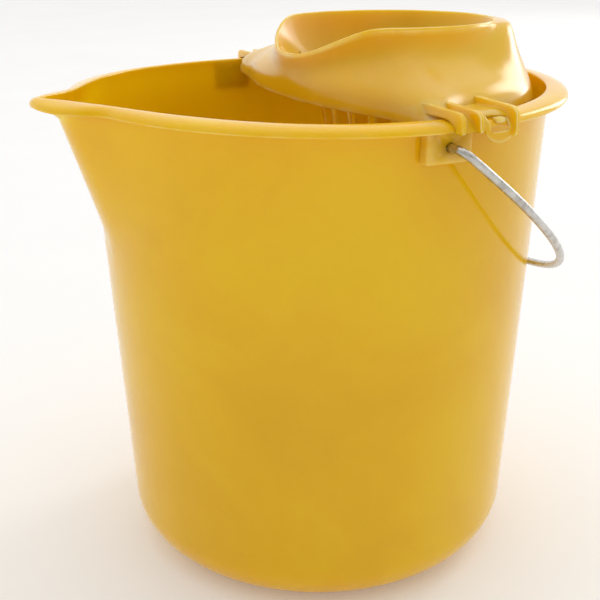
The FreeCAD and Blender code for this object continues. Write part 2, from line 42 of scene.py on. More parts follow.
# Bucket, millimetres: +Z up, the spout towards -X, the ears on the Y axis.
RIM = 288.0
BASE_RADIUS = 121.2
TOP_RADIUS = 134.6
WALL = 2.2
CORNER = 30.0
FLOOR_TOP = 5.0
LIP_RADIUS = 145.0
LIP_DROP = 5.0
SPOUT_FOOT = 206.0
SPOUT_REACH = 157.6
SPOUT_NOSE = 26.6
SPOUT_FLARE = 33.0
SPOUT_SOFTNESS = 1.1
NOSE_CENTRE = 131.0
NOSE_LIP = 37.0
NOSE_BLEND = 20.0
PIVOT_Z = 274.0
WIRE = 2.25
SLOPE = (TOP_RADIUS - BASE_RADIUS) / RIM


def smoothstep(low, high, value):
    t = min(max((value - low) / (high - low), 0.0), 1.0)
    return t * t * (3.0 - 2.0 * t)


def lerp(a, b, t):
    return a + (b - a) * t


def spread(low, high, count):
    return [low + (high - low) * i / (count - 1.0) for i in range(count)]


def table_value(table, x):
    """Value at x on the straight lines between the rows (x, y) of a short table."""
    if x <= table[0][0]:
        return table[0][1]
    for (x0, y0), (x1, y1) in zip(table, table[1:]):
        if x <= x1:
            return lerp(y0, y1, (x - x0) / (x1 - x0))
    return table[-1][1]


def link_mesh(name, bm):
    """Turns a bmesh into an object in the scene."""
    mesh = bpy.data.meshes.new(name)
    bm.to_mesh(mesh)
    bm.free()
    item = bpy.data.objects.new(name, mesh)
    bpy.context.collection.objects.link(item)
    return item


def new_object(name, mesh_maker, body, slot, material, *replaced):
    """Makes a mesh object with smooth shading that rides on a body."""
    bm = bmesh.new()
    mesh_maker(bm)
    bmesh.ops.remove_doubles(bm, verts=bm.verts, dist=1e-6)
    bmesh.ops.recalc_face_normals(bm, faces=bm.faces)
    item = link_mesh(name, bm)
    for polygon in item.data.polygons:
        polygon.use_smooth = True
    item.data.materials.append(material)
    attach(item, body)
    if replaced:
        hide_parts(*replaced)
    return item


def add_grid(bm, rows):
    """Adds quads between rows of points given in millimetres; every row closes on itself."""
    verts = [[bm.verts.new(Vector(p) * MM) for p in row] for row in rows]
    count = len(rows[0])
    for upper, lower in zip(verts, verts[1:]):
        for i in range(count):
            j = (i + 1) % count
            bm.faces.new((upper[i], upper[j], lower[j], lower[i]))
    return verts


# ---------------------------------------------------------------- bucket

def wall_radius(z):
    return BASE_RADIUS + SLOPE * z


def belt(delta, big, nose, centre):
    """Distance from the axis to a belt round a big circle and a nose circle."""
    beta = math.acos(min((big - nose) / centre, 1.0))
    if delta >= beta:
        return big
    touch = math.atan2(nose * math.sin(beta), centre + nose * math.cos(beta))
    if delta > touch:
        return big / math.cos(delta - beta)
    across = centre * math.sin(delta)
    return centre * math.cos(delta) + math.sqrt(max(nose * nose - across * across, 0.0))


def wall_at(delta, z, inset=0.0):
    """Distance from the axis to the wall, with the spout growing out of its upper part."""
    big = wall_radius(z)
    share = min(max((z - SPOUT_FOOT) / (RIM - SPOUT_FOOT), 0.0), 1.0)
    ridge = lerp(wall_radius(SPOUT_FOOT), SPOUT_REACH, (z - SPOUT_FOOT) / (RIM - SPOUT_FOOT))
    gap = ridge - big
    excess = SPOUT_SOFTNESS * math.log1p(math.exp(gap / SPOUT_SOFTNESS))
    nose = SPOUT_NOSE + SPOUT_FLARE * (1.0 - share) ** 2
    centre = big + excess - nose
    return belt(abs(delta), big - inset, nose - inset, centre)


def lip_at(delta):
    """Distance from the axis to the outer edge of the rolled rim."""
    delta = abs(delta)
    reach = LIP_RADIUS + NOSE_BLEND
    cx = (reach ** 2 + NOSE_CENTRE ** 2 - (NOSE_LIP + NOSE_BLEND) ** 2) / (2 * NOSE_CENTRE)
    cy = math.sqrt(reach ** 2 - cx ** 2)
    main = math.atan2(cy, cx)
    side = math.atan2(cy, cx - NOSE_CENTRE)
    join = math.atan2(NOSE_LIP * math.sin(side), NOSE_CENTRE + NOSE_LIP * math.cos(side))
    if delta >= main:
        return LIP_RADIUS
    if delta >= join:
        along = cx * math.cos(delta) + cy * math.sin(delta)
        return along - math.sqrt(along * along - cx * cx - cy * cy + NOSE_BLEND ** 2)
    across = NOSE_CENTRE * math.sin(delta)
    return NOSE_CENTRE * math.cos(delta) + math.sqrt(NOSE_LIP ** 2 - across * across)


# Distance of the rim's inner crest from the axis, by degrees away from the spout.
CREST = ((0, 164.0), (2, 160.0), (5, 152.4), (8, 147.0), (12, 141.8), (16, 138.8), (20, 136.9),
         (25, 135.4), (31, 134.3), (38, 133.5), (180, 133.4))


def saddle(delta, z):
    """How much the rim rises at the spout and the back, and dips at the ears."""
    tip = 1.3 * math.exp(-(math.degrees(delta) / 7.0) ** 2)
    return (1.4 * math.cos(2 * delta) + tip) * smoothstep(196.0, RIM, z)


# Underside of the bucket from its middle to the foot: distance from the axis, height.
FOOT = ((0.0, 2.0), (28.0, 2.0), (56.0, 2.0), (78.0, 2.0), (82.6, 1.9), (84.0, 1.4),
        (84.7, 0.7), (85.6, 0.15), (86.6, 0.0), (89.5, 0.0))
# Levels where the wall is drawn, outside from the foot up and inside from the rim down.
OUTSIDE_LEVELS = tuple(spread(36, 186, 16) + spread(192, 224, 13) + spread(230, 274, 9)) + (278.0,)
INSIDE_LEVELS = ((286.6, 285.4, 283.6, 281.4, 279.0, 276.4, 273.6) + tuple(spread(268, 230, 7))
                 + tuple(spread(224, 192, 9)) + tuple(spread(184, 40, 13)))
LIP_ROLL = 3.9
LIP_ROUNDNESS = 2.25
THROAT_DEPTH = 17.0


def lip_underside(delta):
    """The rim's hollow underside and outer edge: (distance from the axis, depth below the rim)."""
    wall_top = wall_at(delta, RIM)
    lip = lip_at(delta)
    width = lip - wall_top
    root = wall_top + min(1.6, 0.25 * width)
    turn = lip - min(3.4, 0.6 * width)
    skirt = lip - min(2.2, 0.45 * width)
    return ((wall_top - 0.15, 4.6), (wall_top + 0.05, 3.6), (lerp(wall_top, root, 0.4), 2.85),
            (root, 2.5), (turn, 2.5), (lerp(turn, skirt, 0.7), 2.8), (skirt, 3.3),
            (skirt, LIP_DROP - 0.6), (skirt + 0.2, LIP_DROP - 0.15), (skirt + 0.6, LIP_DROP),
            (lip - 0.7, LIP_DROP), (lip - 0.25, LIP_DROP - 0.2), (lip, LIP_DROP - 0.7))


def bucket_column(delta):
    """One upright section (radius, height) from the middle of the underside to the middle of the floor."""
    points = list(FOOT)
    tilt = math.atan(SLOPE)
    middle = wall_radius(CORNER) - CORNER / math.cos(tilt)
    for angle in spread(-math.pi / 2, -tilt, 15):
        points.append((middle + CORNER * math.cos(angle), CORNER + CORNER * math.sin(angle)))
    points += [(wall_at(delta, z), z) for z in OUTSIDE_LEVELS]
    points += [(radius, RIM - below) for radius, below in lip_underside(delta)]

    lip = lip_at(delta)
    crest = table_value(CREST, abs(math.degrees(delta)))
    power = 2 / LIP_ROUNDNESS
    for angle in spread(0.0, math.pi / 2, 14):
        across = max(math.cos(angle), 0.0) ** power
        points.append((crest + (lip - crest) * across,
                       RIM - LIP_ROLL + LIP_ROLL * math.sin(angle) ** power))
    points += [(crest - 0.35, RIM - 0.08), (crest - 0.65, RIM - 0.32), (crest - 0.82, RIM - 0.75)]

    inner = crest - 0.85
    for z in INSIDE_LEVELS:
        blend = smoothstep(RIM - THROAT_DEPTH, RIM, z)
        points.append((lerp(wall_at(delta, z, WALL), inner, blend), z))
    small = CORNER - WALL
    middle = wall_radius(FLOOR_TOP + small) - WALL - small / math.cos(tilt)
    for angle in spread(-tilt, -math.pi / 2, 12):
        points.append((middle + small * math.cos(angle), FLOOR_TOP + small + small * math.sin(angle)))
    points += [(70.0, FLOOR_TOP), (40.0, FLOOR_TOP), (0.0, FLOOR_TOP)]
    return [(radius, z + saddle(delta, z)) for radius, z in points]


def bucket_angles():
    """Directions of the sections, closer together across the spout."""
    fine = [math.radians(a) for a in spread(-26, 26, 88)]
    coarse = [math.radians(a) for a in spread(26, 334, 200)][1:-1]
    return fine + coarse


def make_bowl(bm):
    angles = bucket_angles()
    columns = [bucket_column(math.remainder(a, 2 * math.pi)) for a in angles]
    rows = []
    for level in range(len(columns[0])):
        rows.append([(-column[level][0] * math.cos(a), column[level][0] * math.sin(a), column[level][1])
                     for column, a in zip(columns, angles)])
    add_grid(bm, rows)


EAR_HALF = 13.0
EAR_FACE = 140.5
BORE_RADIUS = 2.45


def ear_tools(bm):
    """The pivot bore and the two cores under each ear."""
    for side in (-1, 1):
        low, high = sorted((side * 134.9, side * 137.9))
        for left, right in ((-11.0, -4.5), (4.5, 11.0)):
            rounded_box(bm, (left, low, 262.0), (right, high, 278.0), 0.8, 2)
        place = (Matrix.Translation((0, side * 139.3 * MM, PIVOT_Z * MM))
                 @ Matrix.Rotation(math.pi / 2, 4, "X"))
        bmesh.ops.create_cone(bm, cap_ends=True, segments=40, radius1=BORE_RADIUS * MM,
                              radius2=BORE_RADIUS * MM, depth=10 * MM, matrix=place)


def make_ears(bm):
    for side in (-1, 1):
        low, high = sorted((side * 132.8, side * EAR_FACE))
        rounded_box(bm, (-EAR_HALF, low, 266.0), (EAR_HALF, high, 285.2), 1.5, 4)


# ---------------------------------------------------------------- bail

BAIL_REST = 39.0
WIRE_SIDES = 20


def arc_points(cx, cy, radius, start, end, count):
    return [(cx + radius * math.cos(math.radians(a)), cy + radius * math.sin(math.radians(a)))
            for a in spread(start, end, count)]


def bail_path():
    """The wire's centre line in its own plane: x away from the pivot, y along the pivot."""
    half, reach, corner, bend, pin = 152.5, 169.4, 141.0, 6.0, 134.7
    path = [(0.0, -pin), (0.0, -pin - 4.0), (0.0, -pin - 8.0)]
    path += arc_points(bend, -half + bend, bend, 180, 270, 9)
    path += [(reach - corner - 12.0, -half)]
    path += arc_points(reach - corner, -half + corner, corner, -90, 0, 40)
    path += arc_points(reach - corner, half - corner, corner, 0, 90, 40)
    path += [(reach - corner - 12.0, half)]
    path += arc_points(bend, half - bend, bend, 90, 180, 9)
    path += [(0.0, pin + 8.0), (0.0, pin + 4.0), (0.0, pin)]
    return path


def make_bail(bm):
    """The bent wire, hanging at its rest angle below the level of the pivots."""
    rest = math.radians(BAIL_REST)
    outward = Vector((math.cos(rest), 0, -math.sin(rest)))
    along = Vector((0, 1, 0))
    normal = outward.cross(along)
    centre = [outward * x + along * y + Vector((0, 0, PIVOT_Z)) for x, y in bail_path()]
    turns = spread(0, 2 * math.pi, WIRE_SIDES + 1)[:-1]
    rows = []
    for index, point in enumerate(centre):
        before = centre[max(index - 1, 0)]
        after = centre[min(index + 1, len(centre) - 1)]
        ahead = (after - before).normalized()
        side = ahead.cross(normal).normalized()
        rings = [(0.0, WIRE)]
        if index == 0:
            rings = [(0.0, 0.0), (0.0, WIRE * 0.8), (0.25, WIRE)]
        elif index == len(centre) - 1:
            rings = [(-0.25, WIRE), (0.0, WIRE * 0.8), (0.0, 0.0)]
        for shift, radius in rings:
            rows.append([point + ahead * shift + side * (radius * math.cos(a))
                         + normal * (radius * math.sin(a)) for a in turns])
    add_grid(bm, rows)


# ---------------------------------------------------------------- wringer

MOUTH_X = 46.0
MOUTH_INNER = 64.0
MOUTH_OUTER = 66.0
MOUTH_HEIGHT = 34.0
HOOD_BOTTOM = -8.0
HOOD_SHEET = 2.1
EDGE_ROUND = 0.9
BASKET_FLOOR = 216.0
BASKET_SHEET = 2.0
FUNNEL_FOOT = 288.0

# Height of the mouth's edge above the rim, by degrees away from the front of the mouth.
MOUTH_EDGE = ((0, 17.4), (8, 17.6), (14, 18.4), (20, 20.0), (26, 22.3), (33, 25.4), (40, 28.5), (46, 31.0),
              (51, 32.7), (56, 33.6), (62, 34.0), (180, 34.0))

# Hood between the mouth (0) and its skirt (1), with the height above the rim: the hollow flank over
# the clips and the front, and the steep one at the back.
HOLLOW_FLANK = ((0.0, 34.0), (0.045, 28.0), (0.11, 22.5), (0.20, 18.4), (0.32, 15.2), (0.46, 12.4),
                (0.60, 9.9), (0.74, 7.3), (0.86, 4.4), (0.94, 1.4), (0.985, -1.8), (1.0, -4.6))
STEEP_FLANK = ((0.0, 34.0), (0.20, 33.7), (0.35, 32.2), (0.45, 28.0), (0.53, 22.4), (0.61, 17.4),
               (0.70, 12.6), (0.79, 8.0), (0.87, 3.6), (0.93, -0.2), (0.975, -3.8), (1.0, -6.0))

# Inside of the funnel and basket: height, radius.
FUNNEL = ((216, 31.2), (232, 32.6), (250, 34.2), (268, 35.8), (276, 38.6), (284, 44.4), (292, 50.2),
          (300, 55.6), (308, 59.6), (316, 62.4), (322, 64.0))

# Plan of the hood's skirt about the middle of the mouth, as circles (x, y, radius), x towards the spout.
SKIRT_FRONT = (-198.0, 0.0, 265.0)
SKIRT_CORNER = (31.13, 102.46, 14.0)
SKIRT_BACK = (34.0, 0.0, 116.5)
CORNER_AT = 70.0
CORNER_SPREAD = 6.5
CORNER_REACH = {"near": 14.0, "far": 8.0}


def skirt_at(psi):
    """Distance from the middle of the mouth to the skirt, drawn out where it runs into the clips."""
    c, s = math.cos(psi), abs(math.sin(psi))
    degrees = abs(math.degrees(math.remainder(psi, 2 * math.pi)))
    if degrees >= 75.2:
        x, y, radius = SKIRT_BACK
    elif degrees <= 67.9:
        x, y, radius = SKIRT_FRONT
    else:
        x, y, radius = SKIRT_CORNER
    along = x * c + y * s
    distance = along + math.sqrt(along * along - x * x - y * y + radius * radius)
    drawn = CORNER_REACH["far" if math.sin(psi) > 0 else "near"]
    return distance + drawn * math.exp(-((degrees - CORNER_AT) / CORNER_SPREAD) ** 2)


def smooth_table(table, x):
    """A cubic through the rows of a short table, flat beyond its ends."""
    if x <= table[0][0]:
        return table[0][1]
    if x >= table[-1][0]:
        return table[-1][1]
    slopes = []
    for i, (x1, y1) in enumerate(table):
        if 0 < i < len(table) - 1:
            before = (y1 - table[i - 1][1]) / (x1 - table[i - 1][0])
            after = (table[i + 1][1] - y1) / (table[i + 1][0] - x1)
            slopes.append(2 * before * after / (before + after) if before * after > 0 else 0.0)
        else:
            slopes.append(0.0)
    for i in range(len(table) - 1):
        (x0, y0), (x1, y1) = table[i], table[i + 1]
        if x <= x1:
            h = x1 - x0
            t = (x - x0) / h
            return ((2 * t ** 3 - 3 * t ** 2 + 1) * y0 + (t ** 3 - 2 * t ** 2 + t) * h * slopes[i]
                    + (3 * t ** 2 - 2 * t ** 3) * y1 + (t ** 3 - t ** 2) * h * slopes[i + 1])
    return table[-1][1]


def hood_line(psi, inset):
    """The hood's section from skirt to mouth, (distance from the mouth's middle, height), and the edge."""
    degrees = abs(math.degrees(math.remainder(psi, 2 * math.pi)))
    edge = smooth_table(MOUTH_EDGE, degrees)
    skirt = skirt_at(psi) - inset
    crown = MOUTH_OUTER - inset
    steep = smoothstep(96.0, 140.0, degrees)
    line = []
    for t in spread(1.0, 0.0, 30):
        u = t ** 1.25
        height = lerp(smooth_table(HOLLOW_FLANK, u), smooth_table(STEEP_FLANK, u), steep)
        if height > 0:
            height *= edge / MOUTH_HEIGHT
        line.append((crown + (skirt - crown) * u, height))
    return line, edge


def hood_column(psi):
    """One upright section of hood, funnel and basket, from the basket floor's top to its underside."""
    outer, edge = hood_line(psi, 0.0)
    crown = RIM + edge
    shoulder = crown - EDGE_ROUND
    lift = MOUTH_INNER - smooth_table(FUNNEL, shoulder)
    points = [(0.0, BASKET_FLOOR), (15.0, BASKET_FLOOR), (27.8, BASKET_FLOOR), (30.4, BASKET_FLOOR + 0.8),
              (31.3, BASKET_FLOOR + 3.0)]
    for z in spread(224, 280, 9) + [284.0, FUNNEL_FOOT]:
        points.append((smooth_table(FUNNEL, z), z))
    for share in spread(0.12, 1.0, 10):
        z = lerp(FUNNEL_FOOT, shoulder, share)
        points.append((smooth_table(FUNNEL, z) + lift * share ** 2, z))
    points += [(MOUTH_INNER + 0.25, crown - 0.35), (MOUTH_INNER + 0.75, crown),
               (MOUTH_OUTER - 0.65, crown), (MOUTH_OUTER - 0.15, crown - 0.35)]
    for radius, height in reversed(outer):
        points.append((radius, min(RIM + height, shoulder)))

    skirt = skirt_at(psi)
    low = RIM + HOOD_BOTTOM
    points += [(skirt, low + 0.7), (skirt - 0.25, low + 0.2), (skirt - 0.8, low), (skirt - 1.3, low),
               (skirt - 1.85, low + 0.2), (skirt - HOOD_SHEET, low + 0.8)]

    under, _ = hood_line(psi, HOOD_SHEET)
    under = [(radius, RIM + height - HOOD_SHEET * smoothstep(-6.0, 6.0, height)) for radius, height in under]
    roof = crown - 6.0
    meeting = len(under) - 6
    for radius, z in under[:meeting + 1]:
        points.append((radius, min(z, roof)))
    for share in spread(0.0, 1.0, 14)[1:]:
        z = lerp(min(under[meeting][1], roof), BASKET_FLOOR + 3.0, share)
        rise = max((z - FUNNEL_FOOT) / (shoulder - FUNNEL_FOOT), 0.0)
        outside = smooth_table(FUNNEL, z) + BASKET_SHEET + lift * rise ** 2
        points.append((min(outside, points[-1][0]), z))
    base = BASKET_FLOOR - BASKET_SHEET
    return points + [(32.6, base + 1.4), (31.0, base), (15.0, base), (0.0, base)]


def make_hood(bm):
    angles = [math.radians(a) for a in spread(0, 360, 217)[:-1]]
    columns = [hood_column(a) for a in angles]
    rows = []
    for level in range(len(columns[0])):
        rows.append([(MOUTH_X - column[level][0] * math.cos(a), column[level][0] * math.sin(a),
                      column[level][1]) for column, a in zip(columns, angles)])
    add_grid(bm, rows)


# Section of a clip across the rim: (distance from the bucket's axis, height).
CLIP_SHEET = ((104, 284.6), (109, 287.4), (114, 288.5), (119, 288.4), (124, 288.4), (130, 288.7),
              (135.5, 288.8), (139.5, 288.2), (142.6, 286.9), (145.1, 285.2), (146.7, 283.4), (147.4, 281.6))
CLIP_FIN = ((104, 284.8), (109, 289.2), (114, 291.4), (119, 291.9), (124, 291.8), (130, 291.6),
            (136, 291.4), (142.3, 291.3), (146.4, 290.9), (148.8, 289.3), (149.6, 286.2), (149.7, 281.8))
CLIP_UNDER = ((104, 282.6), (109, 285.4), (114, 286.6), (119, 286.7), (124, 286.8), (130, 287.1),
              (135.2, 287.2), (139.0, 286.7), (141.6, 285.7), (143.8, 284.2), (145.1, 282.6), (145.45, 281.0))
FIN_CENTRES = (0.9, 11.6, 35.6)
FIN_HALF = 1.55
CLIP_LEFT, CLIP_RIGHT = -1.2, 38.4
CLIP_EDGE = 281.3
LOBE_X, LOBE_Z, LOBE_RADIUS = 26.5, 287.0, 12.5
FAR_CLIP_TURN = 4.6


def run_point(table, share):
    """A point part of the way along a section, with rounded turns."""
    place = share * (len(table) - 1)
    index = min(int(place), len(table) - 2)
    t = place - index
    p0 = table[max(index - 1, 0)]
    p1, p2 = table[index], table[index + 1]
    p3 = table[min(index + 2, len(table) - 1)]
    return tuple(0.5 * (2 * b + (c - a) * t + (2 * a - 5 * b + 4 * c - d) * t * t
                        + (3 * b - a - 3 * c + d) * t ** 3) for a, b, c, d in zip(p0, p1, p2, p3))


def fin_height(x):
    """1 on the crest of a fin, 0 on the sheet between the fins."""
    return max(1.0 - smoothstep(FIN_HALF - 0.75, FIN_HALF + 0.55, abs(x - c)) for c in FIN_CENTRES)


def clip_bottom(x):
    """Height of the clip's lower edge, which drops round the lobe."""
    inside = LOBE_RADIUS ** 2 - (x - LOBE_X) ** 2
    return min(CLIP_EDGE, LOBE_Z - math.sqrt(inside)) if inside > 0 else CLIP_EDGE


def clip_columns():
    """Places across the clip, closer together at the flanks of the fins."""
    marks = set(spread(CLIP_LEFT, CLIP_RIGHT, 45))
    for centre in FIN_CENTRES:
        marks.update(centre + k * 0.26 for k in range(-10, 11))
    kept = []
    for mark in sorted(m for m in marks if CLIP_LEFT <= m <= CLIP_RIGHT):
        if not kept or mark - kept[-1] > 0.12:
            kept.append(mark)
    return kept


def clip_place(x, radius, z, side):
    """Puts a section point at its distance from the bucket's axis, level with x."""
    return (x, side * math.sqrt(max(radius * radius - x * x, 0.0)), z)


def make_clip(bm, side):
    """One clip: a sheet over the rim with three fins, ending in the lobe."""
    columns = clip_columns()
    rows = []
    for x in columns:
        height = fin_height(x)
        bottom = clip_bottom(x)
        ends = smoothstep(0.0, 0.7, x - CLIP_LEFT) * smoothstep(0.0, 0.7, CLIP_RIGHT - x)
        row = []
        for share in spread(0, 1, 34):
            sheet = run_point(CLIP_SHEET, share)
            fin = run_point(CLIP_FIN, share)
            row.append((lerp(sheet[0], fin[0], height) - 0.35 * (1 - ends),
                        lerp(sheet[1], fin[1], height)))
        last = row[-1]
        row += [(last[0], lerp(last[1], bottom + 0.5, s)) for s in (0.35, 0.7, 1.0)]
        row += [(last[0] - 0.25, bottom + 0.12), (last[0] - 0.7, bottom), (146.1, bottom),
                (145.6, bottom + 0.15)]
        under = CLIP_UNDER[-1]
        row += [(under[0], lerp(bottom + 0.5, under[1] - 0.2, s)) for s in (0.0, 0.4, 0.8)]
        row += [run_point(CLIP_UNDER, share) for share in spread(1, 0, 26)]
        rows.append([clip_place(x, radius, z, side) for radius, z in row])
    verts = add_grid(bm, rows)
    bm.faces.new(verts[0])
    bm.faces.new(list(reversed(verts[-1])))


def rounded_box(bm, low, high, radius, segments=3):
    """A box with rounded edges between two corners, in millimetres."""
    made = bmesh.ops.create_cube(bm, size=1.0)["verts"]
    middle = [(a + b) / 2 for a, b in zip(low, high)]
    size = [b - a for a, b in zip(low, high)]
    for vert in made:
        vert.co = Vector([(m + s * c) * MM for m, s, c in zip(middle, size, vert.co)])
    edges = list(dict.fromkeys(edge for vert in made for edge in vert.link_edges))
    bmesh.ops.bevel(bm, geom=edges, offset=radius * MM, segments=segments, profile=0.5, affect="EDGES")


def tool_object(name, maker):
    """A helper solid for cutting; it is removed after use."""
    bm = bmesh.new()
    maker(bm)
    bmesh.ops.recalc_face_normals(bm, faces=bm.faces)
    return link_mesh(name, bm)


def carve(item, maker):
    """Cuts the solids that maker adds out of an object."""
    tool = tool_object(item.name + "_tool", maker)
    cutter = item.modifiers.new("cut", "BOOLEAN")
    cutter.operation = "DIFFERENCE"
    cutter.solver = "EXACT"
    cutter.object = tool
    bpy.context.view_layer.update()
    graph = bpy.context.evaluated_depsgraph_get()
    result = bpy.data.meshes.new_from_object(item.evaluated_get(graph))
    item.modifiers.remove(cutter)
    old = item.data
    item.data = result
    bpy.data.meshes.remove(old)
    bpy.data.objects.remove(tool)


SLOTS = 18
DRAIN_RADIUS = 4.0
DRAIN_RING = 20.0


def slot_tools(bm):
    """Upright slots round the basket and drain holes in its floor."""
    middle = Matrix.Translation((MOUTH_X * MM, 0, 0))
    for number in range(SLOTS):
        start = len(bm.verts)
        rounded_box(bm, (26.0, -2.3, 226.0), (58.0, 2.3, 298.5), 2.0, 3)
        place = middle @ Matrix.Rotation(2 * math.pi * (number + 0.5) / SLOTS, 4, "Z")
        bm.verts.ensure_lookup_table()
        for vert in bm.verts[start:]:
            vert.co = place @ vert.co
    spots = [(0.0, 0.0)] + [(DRAIN_RING * math.cos(k * math.pi / 4), DRAIN_RING * math.sin(k * math.pi / 4))
                            for k in range(8)]
    for x, y in spots:
        place = Matrix.Translation(((MOUTH_X + x) * MM, y * MM, (BASKET_FLOOR - 1.0) * MM))
        bmesh.ops.create_cone(bm, cap_ends=True, segments=28, radius1=DRAIN_RADIUS * MM,
                              radius2=DRAIN_RADIUS * MM, depth=10 * MM, matrix=place)


def on_both_sides(bm, maker):
    """Runs a maker for the near clip, then for the far one, which is set further round the rim."""
    maker(bm, -1)
    before = set(bm.verts)
    maker(bm, 1)
    turn = Matrix.Rotation(math.radians(-FAR_CLIP_TURN), 4, "Z")
    for vert in bm.verts:
        if vert not in before:
            vert.co = turn @ vert.co


def window_tool(bm, side):
    low, high = sorted((side * 139.0, side * 156.0))
    rounded_box(bm, (LOBE_X - 7.5, low, 280.2), (LOBE_X + 5.5, high, 287.6), 1.2, 3)


def tongue(bm, side):
    low, high = sorted((side * 139.4, side * 143.7))
    rounded_box(bm, (LOBE_X - 2.9, low, 284.0), (LOBE_X + 2.9, high, 286.6), 0.9, 3)


def window_tools(bm):
    on_both_sides(bm, window_tool)


def make_clips(bm):
    on_both_sides(bm, make_clip)


def make_tongues(bm):
    on_both_sides(bm, tongue)


# ---------------------------------------------------------------- materials

# Sockets of a colour Mix node, whose names are shared with its float sockets.
MIX_FIRST, MIX_SECOND, MIX_RESULT = 6, 7, 2


class Nodes:
    """A short way to build a node material."""

    def __init__(self, name):
        self.material = bpy.data.materials.new(name)
        self.material.use_nodes = True
        self.tree = self.material.node_tree
        self.shader = self.tree.nodes["Principled BSDF"]
        self.place = self.add("ShaderNodeTexCoord").outputs["Object"]

    def add(self, kind, **settings):
        node = self.tree.nodes.new(kind)
        for key, value in settings.items():
            setattr(node, key, value)
        return node

    def link(self, source, target):
        self.tree.links.new(source, target)

    def stretched(self, scale):
        node = self.add("ShaderNodeMapping")
        node.inputs["Scale"].default_value = scale
        self.link(self.place, node.inputs["Vector"])
        return node.outputs["Vector"]

    def noise(self, scale, detail=3.0, rough=0.5, distort=0.0, stretch=None):
        node = self.add("ShaderNodeTexNoise")
        node.inputs["Scale"].default_value = scale
        node.inputs["Detail"].default_value = detail
        node.inputs["Roughness"].default_value = rough
        node.inputs["Distortion"].default_value = distort
        self.link(self.stretched(stretch) if stretch else self.place, node.inputs["Vector"])
        return node.outputs["Fac"]

    def ramp(self, source, *stops):
        node = self.add("ShaderNodeValToRGB")
        elements = node.color_ramp.elements
        while len(elements) < len(stops):
            elements.new(0.5)
        for element, (position, colour) in zip(elements, stops):
            element.position = position
            element.color = (*colour, 1.0)
        self.link(source, node.inputs["Fac"])
        return node.outputs["Color"]

    def grey(self, source, low, low_value, high, high_value):
        return self.ramp(source, (low, (low_value,) * 3), (high, (high_value,) * 3))

    def mix(self, factor, first, second):
        node = self.add("ShaderNodeMix", data_type="RGBA")
        self.put(factor, node.inputs["Factor"])
        self.put(first, node.inputs[MIX_FIRST])
        self.put(second, node.inputs[MIX_SECOND])
        return node.outputs[MIX_RESULT]

    def put(self, value, socket):
        """Links a socket, or sets a colour or a number."""
        if isinstance(value, bpy.types.NodeSocket):
            self.link(value, socket)
        else:
            socket.default_value = (*value, 1.0) if isinstance(value, tuple) else value

    def maths(self, operation, first, second):
        node = self.add("ShaderNodeMath", operation=operation)
        self.put(first, node.inputs[0])
        self.put(second, node.inputs[1])
        return node.outputs[0]

    def bump(self, height, strength, distance, before=None):
        node = self.add("ShaderNodeBump")
        node.inputs["Strength"].default_value = strength
        node.inputs["Distance"].default_value = distance
        self.link(height, node.inputs["Height"])
        if before is not None:
            self.link(before, node.inputs["Normal"])
        return node.outputs["Normal"]


def moulded_plastic(name, deep, main, light, gloss, edge_highlight_strength):
    """Glossy polypropylene: cloudy colour, faint flow marks, fine scratches, and a pale highlight painted on
    convex edges, which are also made rougher as rubbed wear.
    """
    n = Nodes(name)
    clouds = n.noise(9.0, 4.0, 0.55, 0.6)
    colour = n.ramp(clouds, (0.28, deep), (0.5, main), (0.74, light))
    flow = n.noise(5.0, 3.0, 0.6, 1.2, (1.0, 1.0, 0.16))
    colour = n.mix(n.grey(flow, 0.42, 0.0, 0.75, 0.35), colour, light)
    pits = n.noise(420.0, 2.0, 0.6)
    colour = n.mix(n.grey(pits, 0.62, 0.0, 0.8, 0.18), colour, deep)
    scratch = n.noise(95.0, 6.0, 0.72, 0.25, (1.0, 1.0, 0.07))
    marks = n.grey(scratch, 0.64, 0.0, 0.72, 1.0)
    # Convex edges: a pale colour is painted on them as a highlight line, and they get more roughness as
    # rubbed wear.
    edges = n.add("ShaderNodeNewGeometry").outputs["Pointiness"]
    edge_wear_and_highlight = n.maths("MULTIPLY", n.grey(edges, 0.515, 0.0, 0.56, 1.0),
                     n.grey(n.noise(60.0, 4.0), 0.4, 0.2, 0.62, 1.0))
    # Painted highlight: the pale yellow colour mixed onto the convex edges.
    colour = n.mix(n.maths("MULTIPLY", edge_wear_and_highlight, edge_highlight_strength), colour, (0.97, 0.82, 0.40))
    n.link(colour, n.shader.inputs["Base Color"])
    patchy = n.grey(n.noise(24.0, 4.0, 0.6), 0.3, gloss - 0.05, 0.72, gloss + 0.07)
    rough = n.maths("ADD", patchy, n.maths("MULTIPLY", marks, 0.10))
    rough = n.maths("ADD", rough, n.maths("MULTIPLY", edge_wear_and_highlight, 0.12))
    n.link(rough, n.shader.inputs["Roughness"])
    wave = n.bump(n.noise(11.0, 2.0, 0.4, 0.3, (1.0, 1.0, 0.55)), 0.16, 0.004)
    grain = n.bump(n.noise(700.0, 3.0, 0.6), 0.05, 0.0003, wave)
    cut = n.bump(scratch, 0.035, 0.0004, grain)
    n.link(cut, n.shader.inputs["Normal"])
    n.shader.inputs["IOR"].default_value = 1.49
    n.shader.inputs["Subsurface Weight"].default_value = 0.40
    n.shader.inputs["Subsurface Radius"].default_value = (1.0, 0.8, 0.08)
    n.shader.inputs["Subsurface Scale"].default_value = 0.012
    n.shader.inputs["Specular IOR Level"].default_value = 0.34
    return n.material


